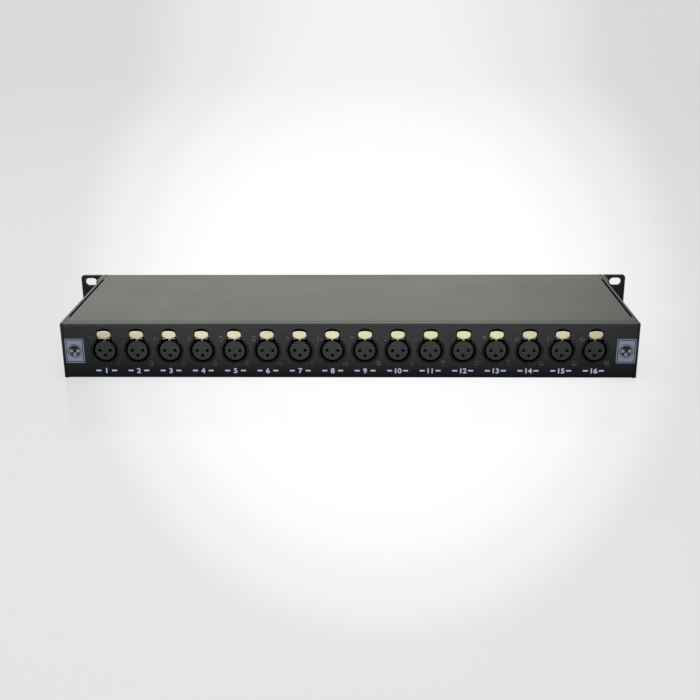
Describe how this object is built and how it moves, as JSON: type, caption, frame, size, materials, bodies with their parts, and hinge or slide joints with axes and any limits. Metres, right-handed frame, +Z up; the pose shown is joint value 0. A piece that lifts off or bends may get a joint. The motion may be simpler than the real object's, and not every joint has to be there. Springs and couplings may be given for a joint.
{
  "type": "rack lighting controller",
  "caption": "One-unit rack lighting controller: folded case with rack ears, a row of latching three-contact sockets, and a front with inlet, switch, keys, window and network jack.",
  "frame": {"origin": "centre of the case's underside", "axes": "+X along the row of sockets, -Y out of the rear panel towards whoever plugs in, +Z up"},
  "size_m": [0.4826, 0.1477, 0.044],
  "materials": {
    "black_powder_coat": "fine semi-gloss powder coat on folded steel",
    "black_plastic": "moulded, lightly textured",
    "nickel_plate": "nickel-plated stamping",
    "clear_plastic": "clear, polished",
    "circuit_board": "solder resist over glass laminate",
    "plated_steel": "tin-plated shield",
    "display_glass": "dark glass over a screen",
    "lead_sleeve": "soft cable sleeve",
    "flat_cable": "grey ribbon"
  },
  "bodies": {
    "case": {"base_tray": "black_powder_coat", "rear_panel": "black_powder_coat", "front_panel": "black_powder_coat", "top_cover": "black_powder_coat", "rack_ear_left": "black_powder_coat", "rack_ear_right": "black_powder_coat", "socket_shell_01": "black_plastic", "socket_shell_02": "black_plastic", "socket_shell_03": "black_plastic", "socket_shell_04": "black_plastic", "socket_shell_05": "black_plastic", "socket_shell_06": "black_plastic", "socket_shell_07": "black_plastic", "socket_shell_08": "black_plastic", "socket_shell_09": "black_plastic", "socket_shell_10": "black_plastic", "socket_shell_11": "black_plastic", "socket_shell_12": "black_plastic", "socket_shell_13": "black_plastic", "socket_shell_14": "black_plastic", "socket_shell_15": "black_plastic", "socket_shell_16": "black_plastic", "power_inlet": "black_plastic", "switch_frame": "black_plastic", "network_jack": "plated_steel", "display_window": "clear_plastic", "display_module": "display_glass", "display_board": "circuit_board", "light_pipe": "clear_plastic", "output_board": "circuit_board", "main_board": "circuit_board", "power_supply": "circuit_board", "data_cable": "flat_cable", "mains_lead": "lead_sleeve", "switched_lead": "lead_sleeve", "earth_lead": "lead_sleeve", "low_voltage_lead": "lead_sleeve", "display_lead": "lead_sleeve"},
    "latch_lever_01": {"latch_01": "nickel_plate"},
    "latch_lever_02": {"latch_02": "nickel_plate"},
    "latch_lever_03": {"latch_03": "nickel_plate"},
    "latch_lever_04": {"latch_04": "nickel_plate"},
    "latch_lever_05": {"latch_05": "nickel_plate"},
    "latch_lever_06": {"latch_06": "nickel_plate"},
    "latch_lever_07": {"latch_07": "nickel_plate"},
    "latch_lever_08": {"latch_08": "nickel_plate"},
    "latch_lever_09": {"latch_09": "nickel_plate"},
    "latch_lever_10": {"latch_10": "nickel_plate"},
    "latch_lever_11": {"latch_11": "nickel_plate"},
    "latch_lever_12": {"latch_12": "nickel_plate"},
    "latch_lever_13": {"latch_13": "nickel_plate"},
    "latch_lever_14": {"latch_14": "nickel_plate"},
    "latch_lever_15": {"latch_15": "nickel_plate"},
    "latch_lever_16": {"latch_16": "nickel_plate"},
    "rocker": {"switch_rocker": "black_plastic"},
    "drawer": {"fuse_drawer": "black_plastic"},
    "key_1": {"menu_key_1": "black_plastic"},
    "key_2": {"menu_key_2": "black_plastic"},
    "key_3": {"menu_key_3": "black_plastic"},
    "key_4": {"menu_key_4": "black_plastic"}
  },
  "joints": [
    {"name": "latch_01_lift", "type": "hinge", "parent": "case", "child": "latch_lever_01", "pos_m": [-0.1875, -0.0525, 0.0332], "axis": [-1, 0, 0], "range_deg": [0, 3.4], "stiffness_Nm_per_rad": 0.5},
    {"name": "latch_02_lift", "type": "hinge", "parent": "case", "child": "latch_lever_02", "pos_m": [-0.1625, -0.0525, 0.0332], "axis": [-1, 0, 0], "range_deg": [0, 3.4], "stiffness_Nm_per_rad": 0.5},
    {"name": "latch_03_lift", "type": "hinge", "parent": "case", "child": "latch_lever_03", "pos_m": [-0.1375, -0.0525, 0.0332], "axis": [-1, 0, 0], "range_deg": [0, 3.4], "stiffness_Nm_per_rad": 0.5},
    {"name": "latch_04_lift", "type": "hinge", "parent": "case", "child": "latch_lever_04", "pos_m": [-0.1125, -0.0525, 0.0332], "axis": [-1, 0, 0], "range_deg": [0, 3.4], "stiffness_Nm_per_rad": 0.5},
    {"name": "latch_05_lift", "type": "hinge", "parent": "case", "child": "latch_lever_05", "pos_m": [-0.0875, -0.0525, 0.0332], "axis": [-1, 0, 0], "range_deg": [0, 3.4], "stiffness_Nm_per_rad": 0.5},
    {"name": "latch_06_lift", "type": "hinge", "parent": "case", "child": "latch_lever_06", "pos_m": [-0.0625, -0.0525, 0.0332], "axis": [-1, 0, 0], "range_deg": [0, 3.4], "stiffness_Nm_per_rad": 0.5},
    {"name": "latch_07_lift", "type": "hinge", "parent": "case", "child": "latch_lever_07", "pos_m": [-0.0375, -0.0525, 0.0332], "axis": [-1, 0, 0], "range_deg": [0, 3.4], "stiffness_Nm_per_rad": 0.5},
    {"name": "latch_08_lift", "type": "hinge", "parent": "case", "child": "latch_lever_08", "pos_m": [-0.0125, -0.0525, 0.0332], "axis": [-1, 0, 0], "range_deg": [0, 3.4], "stiffness_Nm_per_rad": 0.5},
    {"name": "latch_09_lift", "type": "hinge", "parent": "case", "child": "latch_lever_09", "pos_m": [0.0125, -0.0525, 0.0332], "axis": [-1, 0, 0], "range_deg": [0, 3.4], "stiffness_Nm_per_rad": 0.5},
    {"name": "latch_10_lift", "type": "hinge", "parent": "case", "child": "latch_lever_10", "pos_m": [0.0375, -0.0525, 0.0332], "axis": [-1, 0, 0], "range_deg": [0, 3.4], "stiffness_Nm_per_rad": 0.5},
    {"name": "latch_11_lift", "type": "hinge", "parent": "case", "child": "latch_lever_11", "pos_m": [0.0625, -0.0525, 0.0332], "axis": [-1, 0, 0], "range_deg": [0, 3.4], "stiffness_Nm_per_rad": 0.5},
    {"name": "latch_12_lift", "type": "hinge", "parent": "case", "child": "latch_lever_12", "pos_m": [0.0875, -0.0525, 0.0332], "axis": [-1, 0, 0], "range_deg": [0, 3.4], "stiffness_Nm_per_rad": 0.5},
    {"name": "latch_13_lift", "type": "hinge", "parent": "case", "child": "latch_lever_13", "pos_m": [0.1125, -0.0525, 0.0332], "axis": [-1, 0, 0], "range_deg": [0, 3.4], "stiffness_Nm_per_rad": 0.5},
    {"name": "latch_14_lift", "type": "hinge", "parent": "case", "child": "latch_lever_14", "pos_m": [0.1375, -0.0525, 0.0332], "axis": [-1, 0, 0], "range_deg": [0, 3.4], "stiffness_Nm_per_rad": 0.5},
    {"name": "latch_15_lift", "type": "hinge", "parent": "case", "child": "latch_lever_15", "pos_m": [0.1625, -0.0525, 0.0332], "axis": [-1, 0, 0], "range_deg": [0, 3.4], "stiffness_Nm_per_rad": 0.5},
    {"name": "latch_16_lift", "type": "hinge", "parent": "case", "child": "latch_lever_16", "pos_m": [0.1875, -0.0525, 0.0332], "axis": [-1, 0, 0], "range_deg": [0, 3.4], "stiffness_Nm_per_rad": 0.5},
    {"name": "rocker_tilt", "type": "hinge", "parent": "case", "child": "rocker", "pos_m": [0.134, 0.0711, 0.022], "axis": [-1, 0, 0], "range_deg": [0, 14]},
    {"name": "drawer_slide", "type": "slide", "parent": "case", "child": "drawer", "axis": [0, 1, 0], "range_m": [0, 0.018]},
    {"name": "key_1_press", "type": "slide", "parent": "case", "child": "key_1", "axis": [0, -1, 0], "range_m": [0, 0.0005], "stiffness_N_per_m": 400},
    {"name": "key_2_press", "type": "slide", "parent": "case", "child": "key_2", "axis": [0, -1, 0], "range_m": [0, 0.0005], "stiffness_N_per_m": 400},
    {"name": "key_3_press", "type": "slide", "parent": "case", "child": "key_3", "axis": [0, -1, 0], "range_m": [0, 0.0005], "stiffness_N_per_m": 400},
    {"name": "key_4_press", "type": "slide", "parent": "case", "child": "key_4", "axis": [0, -1, 0], "range_m": [0, 0.0005], "stiffness_N_per_m": 400}
  ]
}
